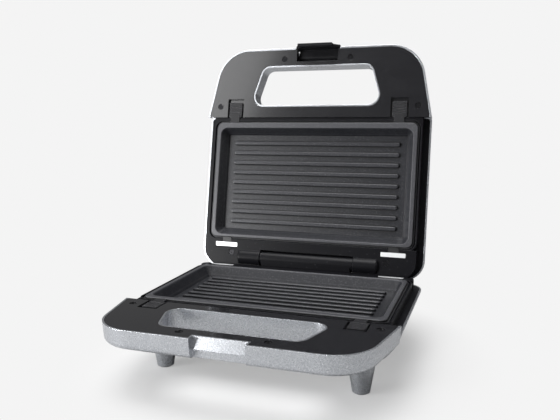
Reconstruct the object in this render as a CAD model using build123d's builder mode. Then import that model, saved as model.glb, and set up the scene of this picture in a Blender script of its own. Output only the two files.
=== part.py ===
from build123d import *

import os
from math import cos, degrees, radians, sin, tan

# Panini press: a silver two-shell sandwich grill with a ribbed plate in each half.
#
# Both halves are drawn in the same half frame: X across, Y from the handle (negative)
# back past the plate (positive), Z from the face that meets the other half outwards
# into the shell. The base half faces up and the lid half is swung open on the hinge.

os.makedirs("parts", exist_ok=True)

# ---------------------------------------------------------------- driving dimensions
half_width = 122.4  # of a shell at its face
handle_reach = 75.0  # from the plate's front border to the handle's front edge
front_half = 107.6  # half-width of the handle's front edge, before its corners are rounded
front_corner = 37.0
rear_corner = 20.5
base_rear = 152.5  # rear edge of the base shell
lid_rear = 164.5  # rear edge of the lid shell
handle_thickness = 16.7
handle_taper = 4.0  # draft of the handle's outer wall, in degrees
handle_edge = 4.5  # rounding of the handle's outer edge

rim_depth = 8.2  # side rim of each shell, below the face
belly_start = 10.0  # depth at which the shell's belly begins to draw in
belly_depth = 38.0
belly_half = 95.0
belly_front = 0.0
belly_rear_inset = 21.0
belly_corner = 15.0
belly_slope = 0.45  # how much of the belly's draw-in is a straight slope; the rest is rounding
belly_levels = [0.0, 0.3, 0.6, 0.85, 1.0]
shell_wall = 2.2
rim_wall = 1.6

opening_front = -54.6  # through opening of the handle
opening_rear = -13.2
opening_front_half = 58.6
opening_rear_half = 71.4
opening_front_corner = 9.0
opening_rear_corner = 10.5
lining_wall = 1.5

seam = 0.15  # line between two mouldings that meet edge to edge
bezel_gap = 0.35  # dark line around the bezel
bezel_thickness = 3.2
bezel_border = 1.7  # silver border left around the bezel

plate_half = 111.0
plate_front = 4.2
plate_rear = 133.0
plate_corner = 8.0
rim_proud = 0.9  # plate rim above the bezel face
rim_step = 1.6  # width of the lower step around the plate rim
rim_step_drop = 2.0
plate_thickness = 2.4
rim_thickness = 3.2
pan_half = 105.6
pan_front = 11.2
pan_rear = 128.9
pan_depth = 9.9  # below the bezel face
pan_draft = 32.7
pan_corner = 8.0
rib_count = 9
rib_first = 27.0
rib_pitch = 10.8
rib_half_length = 91.5
rib_width = 4.4
rib_height = 2.6
rib_round = 1.2

lip_half = 113.9  # upright lip of the frame around the plate
lip_front = 2.7
lip_rear = 135.0
lip_wall = 1.4
lip_depth = 0.3
lip_corner = 9.5
ledge_thickness = 1.6
seat_width = 3.4
seat_thickness = 2.0
strip_depth = 1.2  # strip of the frame between the bezel and its upright lip

panel_half = 114.0  # raised panel behind the plate
panel_corner = 16.0
panel_thickness = 2.0
base_panel_rear = 143.0

hinge_y = 152.5
hinge_rise = 6.5  # hinge axis above the base's face
lid_gap = 2.2  # between the two faces when the lid is shut
open_angle = 101.9
knuckle_radius = 8.5
knuckle_inner = 51.0
knuckle_outer = 76.5
knuckle_end = 2.5
barrel_radius = 7.6
barrel_half = 50.5
pin_radius = 2.5
pin_clearance = 0.05
pin_half = 75.0
cove_gap = 1.2
cove_wall = 2.0

lever_x = 90.0
lever_width = 14.6
lever_length = 16.0
lever_thickness = 2.9
lever_travel = 3.6
pocket_width = 18.6
pocket_floor = 1.4
lever_gap = 0.3
tongue_width = 10.0
tongue_reach = 5.5
tongue_thickness = 1.0
lever_groove = 1.1
lever_groove_pitch = 2.7
lever_groove_depth = 0.9
lever_grooves = 5

screw_points = [(108.2, -12.0), (36.2, -63.5)]
screw_head = 2.7
screw_head_height = 1.3
screw_recess = 3.2
screw_recess_depth = 1.7
screw_shank = 1.2
screw_length = 9.0
screw_slot = 0.7
screw_clearance = 0.1
boss_radius = 3.4
lid_screw = (84.5, 147.9)
lid_column = 20.5
base_screw = (84.5, 146.2)
base_column = 7.0
base_screw_depth = 7.2  # the base's rear screws stand on its lowered deck

clip_x = 91.0
clip_width = 25.0
clip_y = 139.6
clip_length = 4.6
clip_thickness = 1.1
clip_tongue = 10.0
clip_tongue_thickness = 0.7
clip_reach = 131.8
fit_gap = 0.15  # around a piece that is set into another

notch_half = 22.4  # notch for the latch in the base's front edge
notch_rear = -66.6  # rear of the wall that the catch rises into
catch_wall = 1.4  # thickness of that wall beside the notch
catch_top = -68.3
catch_front = -71.4
catch_depth = 9.6
catch_under = -68.4
latch_cap_half = 24.2
latch_cap_rise = 1.6  # the latch's grip stands this far out of the lid's front edge
latch_cap_depth = 9.0
latch_swing_room = 5.4  # under the grip, for its lower edge to swing into
latch_tip_half = 18.4
latch_shoulder = 0.6  # where the grip begins to narrow towards the hook
latch_chamfer_end = 5.1
latch_wall = 2.6
latch_swell = 0.4  # the grip is this much thicker above the hook
latch_arm_half = 21.4
latch_lean = 10.0  # degrees by which the hook plate leans back towards its tip
latch_hook = 1.9  # thickness of the hook's lip
latch_bite = 0.9  # how far the lip reaches under the catch
latch_pin_y = -66.5
latch_pin_depth = 8.6
latch_pin_radius = 1.3
latch_boss = 3.2
lid_notch_half = 22.6  # notch for the latch in the lid's bezel
lid_notch_rear = -60.2
latch_rest_gap = 4.0  # degrees that the latch stands off its hooked position

element_radius = 3.3
element_half = 76.0
element_front = 30.0
element_rear = 108.0
element_bend = 15.0
element_end = 24.0
element_gap = 0.05
terminal_radius = 1.6
terminal_length = 9.0
saddle_width = 9.0
saddle_wall = 1.2
reflector_depth = 22.0
reflector_sheet = 0.8
reflector_draft = 24.0

foot_x = 89.7
foot_front = 8.3
foot_rear = 131.0
foot_rear_root = 26.0  # the rear feet run up into the slope of the belly
foot_height = 62.3  # from the base's face down to the table
foot_top_radius = 11.5
foot_bottom_radius = 7.4
pad_radius = 6.2
pad_proud = 1.0
pad_thickness = 2.2

gland_radius = 6.0
gland_bore = 3.4
gland_x = 62.0
gland_depth = 27.0
gland_inner = 134.0
gland_outer = 150.5
gland_rim = 1.4
terminal_block = (26.0, 12.0, 10.0)
terminal_block_y = 118.0
thermostat_radius = 8.0
thermostat_height = 7.5
fuse_radius = 2.2
fuse_length = 20.0
lens_radius = 4.0
lens_flange = 1.4
lens_dome = 1.0
lens_spacing = 16.0
lens_y = 30.0
lamp_radius = 2.4
lamp_length = 9.0

# --------------------------------------------------------------------- placing frames
lid_face_lift = lid_gap - hinge_rise


def opened(y, depth):
    """Where a point of the lid stands when the lid is open: (y, height over the base's face)."""
    along, out = y - hinge_y, depth + lid_face_lift
    turn = radians(open_angle)
    return (
        hinge_y + along * cos(turn) + out * sin(turn),
        hinge_rise - along * sin(turn) + out * cos(turn),
    )


open_rear = max(
    opened(belly_front, belly_depth)[0], opened(lid_rear - belly_rear_inset, belly_depth)[0]
)
middle_y = (open_rear - handle_reach) / 2
base_half = Plane(origin=(0, -middle_y, foot_height), x_dir=(-1, 0, 0), z_dir=(0, 0, -1))
lid_origin_y, lid_origin_height = opened(0, 0)
lid_half = Plane(
    origin=(0, lid_origin_y - middle_y, foot_height + lid_origin_height),
    x_dir=(1, 0, 0),
    z_dir=(0, sin(radians(open_angle)), cos(radians(open_angle))),
)


latch_pivot = Location(lid_half.from_local_coords((0, latch_pin_y, latch_pin_depth)))
latch_turn = latch_pivot * Location((0, 0, 0), (-latch_rest_gap, 0, 0)) * latch_pivot.inverse()
latch_frame = Plane(latch_turn * lid_half.location)  # the lid's half frame, turned with the latch


def section(half, x=0.0):
    """Plane across a half, with its own X running back and its own Y running outwards."""
    return Plane(origin=half.from_local_coords((x, 0, 0)), x_dir=half.y_dir, z_dir=half.x_dir)


def outward(half):
    """Axis of a half that runs from its face outwards."""
    return Axis(half.origin, half.z_dir)


def back(half):
    """Axis of a half that runs from its handle back to the hinge."""
    return Axis(half.origin, half.y_dir)


def keep(piece, name):
    """Labels a finished piece and writes it."""
    piece.part.label = name
    export_step(piece.part, f"parts/{name}.step")


# ------------------------------------------------------------------------- outlines
def rounded_block(half, front, rear, front_radius, rear_radius):
    """Rectangle about the middle line with its own corner radii at the front and the rear."""
    with BuildSketch() as outline:
        with Locations((0, (front + rear) / 2)):
            Rectangle(2 * half, rear - front)
        fillet(outline.vertices().group_by(Axis.Y)[0], front_radius)
        fillet(outline.vertices().group_by(Axis.Y)[-1], rear_radius)
    return outline.sketch


def handle_outline(inset=0.0):
    """Handle half of the face: sides that close in towards the front, and round front corners."""
    with BuildSketch() as outline:
        with BuildLine():
            Polyline(
                (front_half, -handle_reach),
                (half_width, 0),
                (-half_width, 0),
                (-front_half, -handle_reach),
                close=True,
            )
        make_face()
        fillet(outline.vertices().group_by(Axis.Y)[0], front_corner)
        if inset:
            offset(amount=-inset, mode=Mode.REPLACE)
    return outline.sketch


def opening_outline(grow=0.0):
    """Through opening of the handle, wider at its rear."""
    with BuildSketch() as outline:
        with BuildLine():
            Polyline(
                (opening_front_half, opening_front),
                (opening_rear_half, opening_rear),
                (-opening_rear_half, opening_rear),
                (-opening_front_half, opening_front),
                close=True,
            )
        make_face()
        fillet(outline.vertices().group_by(Axis.Y)[0], opening_front_corner)
        fillet(outline.vertices().group_by(Axis.Y)[-1], opening_rear_corner)
        if grow:
            offset(amount=grow, mode=Mode.REPLACE)
    return outline.sketch


def belly_outline(depth, rear, inset=0.0):
    """Outline of a shell's belly at a depth, from its rim in to its flat outer side."""
    down = (depth - belly_start) / (belly_depth - belly_start)
    share = belly_slope * down + (1 - belly_slope) * down**3
    rim_half = half_width - belly_start * tan(radians(handle_taper))
    half = rim_half + share * (belly_half - rim_half) - inset
    corner = rear_corner + share * (belly_corner - rear_corner) - inset
    front = belly_front - 2.0 + 2.0 * share + inset
    return rounded_block(half, front, rear - share * belly_rear_inset - inset, 4.0, corner)


def both_sides(points):
    """Points of the right side and their mirror images on the left."""
    return [(side * x, y) for x, y in points for side in (1, -1)]


# --------------------------------------------------------------------------- shells
side_wall = shell_wall + 0.9  # across the slope, so that the wall is shell_wall thick
handle_cavity = bezel_border + 1.5
handle_floor = handle_thickness - 3.2
way_half = lip_half + 0.3
wing_half = half_width - bezel_border - 0.7  # where the bezel ends beside the plate
column_top = rim_depth + ledge_thickness
hinge_depth = hinge_rise - lid_gap  # of the hinge axis, inside the lid half
cove_radius = barrel_radius + cove_gap
cove_floor = hinge_depth + cove_radius
trough_half = knuckle_inner + cove_wall
foot_places = both_sides([(foot_x, foot_front), (foot_x, foot_rear)])
foot_front_root = belly_depth - shell_wall / 2
foot_roots = [(foot_places[:2], foot_front_root), (foot_places[2:], foot_rear_root)]
foot_end = foot_height - pad_proud
lens_places = [(-lens_spacing / 2, lens_y), (lens_spacing / 2, lens_y)]


def shell(half, rear, rear_screw, column, wall=None):
    """Outer casing of one half: the handle loop and the belly, hollow towards the face."""
    with BuildPart() as casing:
        with BuildSketch(half):
            add(handle_outline())
        extrude(amount=handle_thickness, taper=handle_taper)
        bottom = casing.edges().group_by(outward(half))[-1]
        fillet(bottom.sort_by(back(half))[:-1], handle_edge)
        with BuildSketch(half.offset(rim_depth)):
            add(belly_outline(belly_start, rear))
        extrude(amount=belly_start - rim_depth)
        for level in belly_levels:
            depth = belly_start + level * (belly_depth - belly_start)
            with BuildSketch(half.offset(depth)):
                add(belly_outline(depth, rear))
        loft()
        # seat for the bezel, and the hollow under it around the lining of the opening
        with BuildSketch(half):
            add(handle_outline(bezel_border))
            add(opening_outline(lining_wall), mode=Mode.SUBTRACT)
            with Locations((0, (1 - handle_cavity) / 2)):
                Rectangle(2 * wing_half, handle_cavity + 1)
            if wall:
                with Locations((0, -handle_reach)):
                    wall_half = notch_half + wall
                    Rectangle(2 * wall_half, 2 * (handle_reach + notch_rear), mode=Mode.SUBTRACT)
        extrude(amount=bezel_thickness, mode=Mode.SUBTRACT)
        with BuildSketch(half.offset(bezel_thickness)):
            add(handle_outline(handle_cavity))
            add(opening_outline(lining_wall + 1.0), mode=Mode.SUBTRACT)
            with Locations((0, -handle_reach)):
                Rectangle(2 * notch_half + 6, 2 * (handle_reach + notch_rear + 3.6), mode=Mode.SUBTRACT)
            with Locations(*both_sides(screw_points)):
                Circle(boss_radius, mode=Mode.SUBTRACT)
        extrude(amount=handle_floor - bezel_thickness, mode=Mode.SUBTRACT)
        with BuildSketch(half.offset(bezel_thickness)):
            with Locations(*both_sides(screw_points)):
                Circle(screw_shank + screw_clearance)
        extrude(amount=screw_length, mode=Mode.SUBTRACT)
        with BuildSketch(half):
            add(opening_outline())
        extrude(amount=handle_thickness + 1, mode=Mode.SUBTRACT)
        # hollow of the belly under its rim, with a shoulder for the frame
        with BuildSketch(half.offset(rim_depth)):
            add(belly_outline(belly_start, rear, rim_wall))
            with Locations((0, -handle_reach)):
                Rectangle(4 * half_width, 2 * handle_reach, mode=Mode.SUBTRACT)
        extrude(amount=ledge_thickness, mode=Mode.SUBTRACT)
        for level in belly_levels:
            depth = rim_depth + level * (belly_depth - shell_wall - rim_depth)
            with BuildSketch(half.offset(depth)):
                add(belly_outline(depth, rear, side_wall))
        loft(mode=Mode.SUBTRACT)
        # way through from the handle to the plate, filled by the bezel and the frame
        with BuildSketch(half.offset(-1)):
            Rectangle(2 * way_half, 2 * handle_cavity)
        extrude(amount=column_top + 1, mode=Mode.SUBTRACT)
        # columns that the frame is screwed to, with their pilot holes
        with BuildSketch(half.offset(column_top)):
            with Locations(*both_sides([rear_screw])):
                Circle(boss_radius)
        extrude(amount=column)
        with BuildSketch(half.offset(column_top)):
            with Locations(*both_sides([rear_screw])):
                Circle(screw_shank + screw_clearance)
        extrude(amount=base_column - 0.4, mode=Mode.SUBTRACT)
    return casing


def base_shell():
    """Lower casing with the catch for the latch, four moulded feet and the cord hole."""
    with BuildPart() as lower:
        add(shell(base_half, base_rear, base_screw, base_column, catch_wall).part)
        with BuildSketch(section(base_half, -notch_half)):
            with BuildLine():
                Polyline(
                    (-handle_reach - 5, -1),
                    (catch_top, -1),
                    (catch_top, 0),
                    (catch_front, catch_depth),
                    (catch_under, catch_depth),
                    (catch_under, handle_thickness + 1),
                    (-handle_reach - 5, handle_thickness + 1),
                    close=True,
                )
            make_face()
        extrude(amount=2 * notch_half, mode=Mode.SUBTRACT)
        foot_lean = degrees((foot_top_radius - foot_bottom_radius) / (foot_end - foot_front_root))
        for places, root in foot_roots:
            with BuildSketch(base_half.offset(foot_end)):
                with Locations(*places):
                    Circle(foot_bottom_radius)
            extrude(amount=root - foot_end, taper=-foot_lean)
        with BuildSketch(base_half.offset(foot_height - pad_thickness)):
            with Locations(*foot_places):
                Circle(pad_radius + screw_clearance)
        extrude(amount=pad_thickness, mode=Mode.SUBTRACT)
        with BuildSketch(Plane(base_half.origin, x_dir=base_half.x_dir, z_dir=base_half.y_dir)):
            with Locations((gland_x, -gland_depth)):
                Circle(gland_radius + pin_clearance)
        extrude(amount=base_rear, mode=Mode.SUBTRACT)
    return lower


def lid_shell():
    """Upper casing, cut away for the hinge, the latch and the two lenses."""
    with BuildPart() as upper:
        add(shell(lid_half, lid_rear, lid_screw, lid_column).part)
        with BuildSketch(lid_half.offset(-1)):
            with Locations((0, lid_rear)):
                Rectangle(2 * (trough_half + seam), 2 * (lid_rear - hinge_y))
        extrude(amount=1 + cove_floor + cove_wall + seam, mode=Mode.SUBTRACT)
        with BuildSketch(lid_half.offset(-1)):
            with Locations((0, -handle_reach)):
                Rectangle(2 * latch_cap_half + 0.6, 2 * (handle_cavity + 0.5))
        extrude(amount=1 + latch_cap_depth + latch_swing_room, mode=Mode.SUBTRACT)
        with BuildSketch(lid_half.offset(-1)):
            with Locations((0, -handle_reach)):
                Rectangle(2 * (lid_notch_half + 1.6), 2 * (handle_reach + lid_notch_rear + 1.6))
        extrude(amount=1 + handle_floor, mode=Mode.SUBTRACT)
        with BuildSketch(lid_half.offset(belly_depth - shell_wall - 1)):
            with Locations(*lens_places):
                Circle(lens_radius + pin_clearance)
        extrude(amount=shell_wall + 2, mode=Mode.SUBTRACT)
    return upper


# --------------------------------------------------------------------------- bezels
lever_places = both_sides([(lever_x, 0)])


def front_bezel(half, cut_half, cut_rear):
    """Glossy cover of the handle, with its screw recesses, release pockets and latch notch."""
    pocket_length = lever_length + lever_travel + 2 * lever_gap + seam
    with BuildPart() as bezel:
        with BuildSketch(half):
            add(handle_outline(bezel_border + bezel_gap))
            with Locations((0, -handle_cavity / 2 - seam / 2)):
                Rectangle(2 * (wing_half - bezel_gap), handle_cavity - seam)
            add(opening_outline(lining_wall + seam), mode=Mode.SUBTRACT)
            with Locations((0, -handle_reach)):
                Rectangle(2 * cut_half, 2 * (handle_reach + cut_rear), mode=Mode.SUBTRACT)
            with Locations(*lever_places):
                Rectangle(pocket_width, 2 * pocket_length, mode=Mode.SUBTRACT)
        extrude(amount=bezel_thickness)
        # floor of each release pocket
        with BuildSketch(half.offset(bezel_thickness)):
            with Locations(*[(x, -(pocket_length + 1 + seam) / 2) for x, _ in lever_places]):
                Rectangle(pocket_width + 2, pocket_length + 1 - seam)
        extrude(amount=pocket_floor)
        # hem along the plate
        with BuildSketch(half.offset(bezel_thickness)):
            with Locations((0, -seam - lining_wall / 2)):
                Rectangle(2 * (way_half - seam), lining_wall)
        extrude(amount=column_top - bezel_thickness)
        with BuildSketch(half.offset(-0.5)):
            with Locations(*both_sides(screw_points)):
                Circle(screw_recess)
        extrude(amount=0.5 + screw_recess_depth, mode=Mode.SUBTRACT)
        with BuildSketch(half):
            with Locations(*both_sides(screw_points)):
                Circle(screw_shank + screw_clearance)
        extrude(amount=bezel_thickness, mode=Mode.SUBTRACT)
    return bezel


def lid_bezel():
    """The lid's bezel also has a skirt around its notch, which hides the latch's hollow."""
    with BuildPart() as bezel:
        add(front_bezel(lid_half, lid_notch_half, lid_notch_rear).part)
        with BuildSketch(lid_half.offset(bezel_thickness)):
            with Locations((0, (lid_notch_rear - handle_reach + handle_cavity + 0.7) / 2)):
                depth = handle_reach + lid_notch_rear - handle_cavity - 0.7
                Rectangle(2 * (lid_notch_half + 1.4), depth)
            with Locations((0, (lid_notch_rear + 1.4 - handle_reach) / 2)):
                Rectangle(2 * (lid_notch_half + 1.4), handle_reach + lid_notch_rear + 1.4)
            with Locations((0, -handle_reach)):
                Rectangle(2 * lid_notch_half, 2 * (handle_reach + lid_notch_rear), mode=Mode.SUBTRACT)
                Rectangle(4 * lid_notch_half, 2 * (handle_cavity + 0.7), mode=Mode.SUBTRACT)
        extrude(amount=handle_floor - bezel_thickness - seam)
        with BuildSketch(section(lid_half, -latch_cap_half)):
            with Locations((latch_pin_y, latch_pin_depth)):
                Circle(latch_pin_radius + pin_clearance)
        extrude(amount=2 * latch_cap_half, mode=Mode.SUBTRACT)
    return bezel


# --------------------------------------------------------------------------- frames
seat_depth = rim_thickness - rim_proud
inner_lip = lip_half - lip_wall


def lip_block(inset):
    """Outline of the upright lip, or of what lies inside it."""
    corner = lip_corner - inset
    return rounded_block(lip_half - inset, lip_front + inset, lip_rear - inset, corner, corner)


def plate_frame(half, rear, panel_rear, corner, rear_screw, screw_level):
    """Dark inner frame: side ledges, the upright lip and seat of the plate, and the rear panel."""
    with BuildPart() as frame:
        with BuildSketch(half.offset(rim_depth)):
            add(belly_outline(belly_start, rear, rim_wall + seam))
            with Locations((0, -handle_reach)):
                Rectangle(4 * half_width, 2 * (handle_reach + seam), mode=Mode.SUBTRACT)
        extrude(amount=ledge_thickness)
        with BuildSketch(half):
            add(rounded_block(panel_half, lip_rear - 1, panel_rear, 0.5, corner))
        extrude(amount=column_top)
        with BuildSketch(half.offset(panel_thickness)):
            add(rounded_block(panel_half - 1.6, lip_rear - 1, panel_rear - 1.6, 0.5, corner - 1.6))
        extrude(amount=column_top, mode=Mode.SUBTRACT)
        with BuildSketch(half.offset(strip_depth)):
            with Locations((0, (lip_front + lip_corner + seam) / 2)):
                Rectangle(2 * lip_half, lip_front + lip_corner - seam)
        extrude(amount=column_top - strip_depth)
        with BuildSketch(half.offset(lip_depth)):
            add(lip_block(0))
        extrude(amount=column_top - lip_depth)
        with BuildSketch(half.offset(-1)):
            add(lip_block(lip_wall))
        extrude(amount=column_top + 2, mode=Mode.SUBTRACT)
        with BuildSketch(half.offset(seat_depth)):
            add(lip_block(lip_wall - 0.2))
            add(lip_block(lip_wall + seat_width), mode=Mode.SUBTRACT)
        extrude(amount=seat_thickness)
        # notches for the tongues of the levers, and seats for the rear clips
        with BuildSketch(half.offset(-1)):
            with Locations(*lever_places):
                Rectangle(tongue_width + 2 * lever_gap, 4 * lip_front)
            with Locations(*both_sides([(clip_x, clip_y)])):
                Rectangle(clip_width + 2 * fit_gap, clip_length + 2 * fit_gap)
            with Locations(*both_sides([(clip_x, (clip_y + clip_reach) / 2)])):
                Rectangle(clip_tongue + 2 * fit_gap, clip_y - clip_reach)
        extrude(amount=1 + strip_depth, mode=Mode.SUBTRACT)
        # rear screws
        with BuildSketch(half.offset(screw_level)):
            with Locations(*both_sides([rear_screw])):
                Circle(screw_recess + 0.8)
        extrude(amount=column_top - screw_level)
        with BuildSketch(half.offset(screw_level - 0.5)):
            with Locations(*both_sides([rear_screw])):
                Circle(screw_recess)
        extrude(amount=0.5 + screw_recess_depth, mode=Mode.SUBTRACT)
        with BuildSketch(half.offset(screw_level)):
            with Locations(*both_sides([rear_screw])):
                Circle(screw_shank + screw_clearance)
        extrude(amount=column_top - screw_level, mode=Mode.SUBTRACT)
    return frame


def base_frame():
    """The base's frame, with the middle barrel of the hinge on an upright arm."""
    with BuildPart() as frame:
        add(plate_frame(base_half, base_rear, base_panel_rear, 6.0, base_screw, base_screw_depth).part)
        with BuildSketch(section(base_half, -barrel_half)):
            with Locations((hinge_y, -hinge_rise)):
                Circle(barrel_radius)
        extrude(amount=2 * barrel_half)
        arm_half = barrel_half - 2.5
        with BuildSketch(section(base_half, -arm_half)):
            with Locations((hinge_y - barrel_radius / 2, (rim_depth - hinge_rise) / 2)):
                Rectangle(barrel_radius, rim_depth + hinge_rise)
        extrude(amount=2 * arm_half)
        with BuildSketch(section(base_half, -barrel_half)):
            with Locations((hinge_y, -hinge_rise)):
                Circle(pin_radius + pin_clearance)
        extrude(amount=2 * barrel_half, mode=Mode.SUBTRACT)
    return frame


def knuckle(side):
    """One of the lid's knuckles, rounded at its outer end."""
    with BuildPart() as boss:
        with BuildSketch(section(lid_half, side * knuckle_inner)):
            with Locations((hinge_y, hinge_depth)):
                Circle(knuckle_radius)
        extrude(amount=side * (knuckle_outer - knuckle_inner))
        fillet(boss.edges().group_by(Axis.X)[-1 if side > 0 else 0], knuckle_end)
    return boss


def lid_frame():
    """The lid's frame, with a knuckle on each side of a trough that swings around the barrel."""
    with BuildPart() as frame:
        panel_rear = lid_rear - rim_wall - seam
        add(plate_frame(lid_half, lid_rear, panel_rear, panel_corner, lid_screw, 0).part)
        trough_front = hinge_y - cove_radius - cove_wall
        trough_rear = lid_rear - rim_wall - seam - 0.5
        with BuildSketch(section(lid_half, -trough_half)):
            with Locations(((trough_front + trough_rear) / 2, (cove_floor + cove_wall) / 2)):
                Rectangle(trough_rear - trough_front, cove_floor + cove_wall)
        extrude(amount=2 * trough_half)
        add(knuckle(1).part)
        add(knuckle(-1).part)
        with BuildSketch(section(lid_half, -knuckle_inner)):
            with Locations((hinge_y, hinge_depth)):
                Circle(cove_radius)
            with Locations((hinge_y + cove_radius, hinge_depth - cove_radius / 2)):
                Rectangle(4 * cove_radius, 3 * cove_radius)
        extrude(amount=2 * knuckle_inner, mode=Mode.SUBTRACT)
        with BuildSketch(section(lid_half, -pin_half - 0.5)):
            with Locations((hinge_y, hinge_depth)):
                Circle(pin_radius + pin_clearance)
        extrude(amount=2 * pin_half + 1, mode=Mode.SUBTRACT)
    return frame


# --------------------------------------------------------------------------- plates
draft = tan(radians(pan_draft))
wall_across = plate_thickness / cos(radians(pan_draft))
under_rim = rim_thickness * draft - wall_across
plate_under = pan_depth + plate_thickness


def grill_plate(half):
    """Cast plate with a stepped rim, a sloping pan and raised ribs across it."""
    with BuildPart() as plate:
        with BuildSketch(half.offset(-rim_proud)):
            corner = plate_corner - rim_step
            step = rim_step
            add(rounded_block(plate_half - step, plate_front + step, plate_rear - step, corner, corner))
        extrude(amount=rim_step_drop)
        fillet(plate.edges().group_by(outward(half))[0], 0.6)
        with BuildSketch(half.offset(rim_step_drop - rim_proud)):
            add(rounded_block(plate_half, plate_front, plate_rear, plate_corner, plate_corner))
        extrude(amount=rim_thickness - rim_step_drop)
        with BuildSketch(half.offset(rim_thickness - rim_proud)):
            outer = (pan_half - under_rim, pan_front + under_rim, pan_rear - under_rim)
            add(rounded_block(*outer, pan_corner - under_rim, pan_corner - under_rim))
        extrude(amount=plate_under + rim_proud - rim_thickness, taper=pan_draft)
        with BuildSketch(half.offset(-rim_proud)):
            add(rounded_block(pan_half, pan_front, pan_rear, pan_corner, pan_corner))
        extrude(amount=pan_depth + rim_proud, taper=pan_draft, mode=Mode.SUBTRACT)
        with BuildSketch(half.offset(pan_depth - rib_height)):
            with Locations(*[(0, rib_first + i * rib_pitch) for i in range(rib_count)]):
                SlotOverall(2 * rib_half_length, rib_width)
        extrude(amount=rib_height + plate_thickness / 2)
        fillet(plate.edges().filter_by(rib_top_edge(half)), rib_round)
    return plate


def rib_top_edge(half):
    """Picks the edges around the top of the ribs."""
    level = outward(half)

    def picks(edge):
        middle = half.to_local_coords(edge.center())
        return abs(middle.Z - (pan_depth - rib_height)) < 0.01 and abs(middle.X) < pan_half

    return picks


def reflector(half):
    """Sheet tray that throws the heat back at the plate and keeps it off the shell."""
    top = seat_depth + seat_thickness
    depth = reflector_depth - top
    with BuildPart() as tray:
        with BuildSketch(half.offset(top)):
            add(lip_block(lip_wall + fit_gap))
        extrude(amount=depth, taper=reflector_draft)
        with BuildSketch(half.offset(top)):
            add(lip_block(lip_wall + fit_gap + reflector_sheet))
        extrude(amount=depth - reflector_sheet, taper=reflector_draft, mode=Mode.SUBTRACT)
    return tray


element_depth = plate_under + element_gap + element_radius
element_points = [
    (element_end, element_rear),
    (element_half, element_rear),
    (element_half, element_front),
    (-element_half, element_front),
    (-element_half, element_rear),
    (-element_end, element_rear),
]
saddle_places = both_sides([(element_half, (element_front + element_rear) / 2)])


def heating_element(half):
    """Tubular heater bent round under the plate, with a thin terminal at each end."""
    with BuildPart() as element:
        with BuildLine(half.offset(element_depth)) as route:
            FilletPolyline(*element_points, radius=element_bend)
        start = route.line @ 0
        with BuildSketch(Plane(origin=start, z_dir=route.line % 0)):
            Circle(element_radius)
        sweep(path=route.line)
        for side in (-1, 1):
            with BuildSketch(section(half, side * element_end)):
                with Locations((element_rear, element_depth)):
                    Circle(terminal_radius)
            extrude(amount=-side * terminal_length)
    return element


def element_saddles(half):
    """Two saddles that hold the heater against the plate."""
    with BuildPart() as saddles:
        with BuildSketch(half.offset(plate_under)):
            with Locations(*saddle_places):
                Rectangle(2 * element_radius + 8, saddle_width)
        extrude(amount=2 * element_radius + saddle_wall)
        for x, y in saddle_places:
            across = Plane(
                origin=half.from_local_coords((x, y, element_depth)), x_dir=half.x_dir, z_dir=half.y_dir
            )
            with BuildSketch(across.offset(-saddle_width)):
                Circle(element_radius + element_gap)
            extrude(amount=2 * saddle_width, mode=Mode.SUBTRACT)
            with BuildSketch(across.offset(-saddle_width)):
                with Locations((0, element_radius)):
                    Rectangle(2 * (element_radius + element_gap), 2 * element_radius + 1)
            extrude(amount=2 * saddle_width, mode=Mode.SUBTRACT)
    return saddles


def thermostat(half):
    """Round snap-disc thermostat against the middle of the plate."""
    with BuildPart() as switch:
        with BuildSketch(half.offset(plate_under)):
            with Locations((0, element_rear - 35)):
                Circle(thermostat_radius)
        extrude(amount=thermostat_height / 2)
        with BuildSketch(half.offset(plate_under + thermostat_height / 2)):
            with Locations((0, element_rear - 35)):
                Circle(thermostat_radius - 1.5)
        extrude(amount=thermostat_height / 2)
    return switch


def thermal_fuse(half):
    """Small fuse that lies across the plate beside the thermostat."""
    with BuildPart() as fuse:
        with BuildSketch(section(half, -fuse_length / 2)):
            with Locations((element_front + 18, plate_under + element_gap + fuse_radius)):
                Circle(fuse_radius)
        extrude(amount=fuse_length)
    return fuse


# ---------------------------------------------------------------------------- small parts
lever_top = 0.2
tongue_bottom = rim_step_drop - rim_proud - lever_gap


def release_lever(half, side):
    """Ribbed slider that holds the plate's front edge and slides forward to free it."""
    x = side * lever_x
    rear = -seam - lever_gap
    with BuildPart() as lever:
        with BuildSketch(half.offset(lever_top)):
            with Locations((x, rear - lever_length / 2)):
                RectangleRounded(lever_width, lever_length, 1.2)
        extrude(amount=lever_thickness - lever_top)
        with BuildSketch(half.offset(tongue_bottom - tongue_thickness)):
            with Locations((x, (tongue_reach + rear - 3) / 2)):
                Rectangle(tongue_width, tongue_reach - rear + 3)
        extrude(amount=tongue_thickness)
        with BuildSketch(half.offset(lever_top - 1)):
            with Locations(*[(x, rear - 3.6 - i * lever_groove_pitch) for i in range(lever_grooves)]):
                Rectangle(lever_width + 1, lever_groove)
        extrude(amount=1 + lever_groove_depth, mode=Mode.SUBTRACT)
    return lever


def plate_clips(half):
    """Bright rear clips, each with a tongue over the plate's rear step."""
    clip_bottom = strip_depth
    with BuildPart() as clips:
        with BuildSketch(half.offset(clip_bottom - clip_thickness)):
            with Locations(*both_sides([(clip_x, clip_y)])):
                RectangleRounded(clip_width, clip_length, 0.8)
        extrude(amount=clip_thickness)
        tongue_level = rim_step_drop - rim_proud - clip_tongue_thickness
        with BuildSketch(half.offset(tongue_level)):
            with Locations(*both_sides([(clip_x, (clip_y + clip_reach) / 2)])):
                Rectangle(clip_tongue, clip_y - clip_reach)
        extrude(amount=clip_tongue_thickness)
    return clips


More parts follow.
